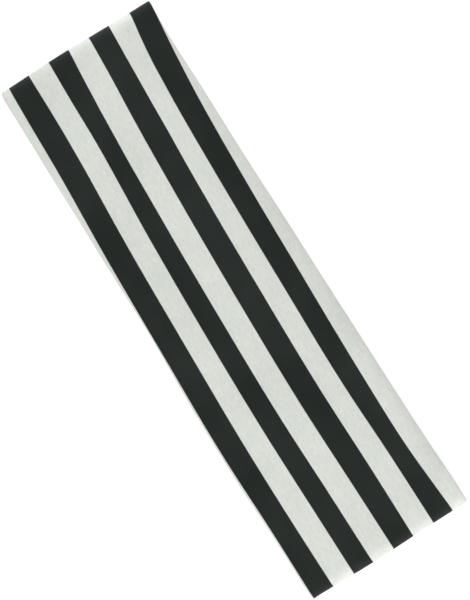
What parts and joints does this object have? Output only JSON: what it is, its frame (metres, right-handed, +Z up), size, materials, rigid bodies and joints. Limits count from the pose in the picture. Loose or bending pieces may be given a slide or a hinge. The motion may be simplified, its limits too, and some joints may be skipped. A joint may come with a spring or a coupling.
{
  "type": "sweat headband",
  "caption": "Wide striped stretch headband for sport: a lined, hemmed knitted loop that lies flat when stored.",
  "frame": {"origin": "centre of the footprint of the flattened loop, on the surface it lies on", "axes": "+X along the flattened loop from the narrower fold to the wider one, +Y across the band, +Z up out of the surface"},
  "size_m": [0.231, 0.0717, 0.0078],
  "materials": {
    "striped_jersey": "matte jersey knit, off-white with four wide charcoal stripes round the loop",
    "terry": "soft off-white looped terry",
    "thread": "spun off-white sewing thread",
    "label_satin": "blank white woven satin"
  },
  "bodies": {
    "root": {"face_jersey": "striped_jersey", "terry_lining": "terry", "edge_overlock_left": "thread", "edge_overlock_right": "thread", "hem_stitch_left": "thread", "hem_stitch_right": "thread", "closing_stitch": "thread", "closing_overlock": "thread", "care_label": "label_satin"}
  },
  "joints": []
}
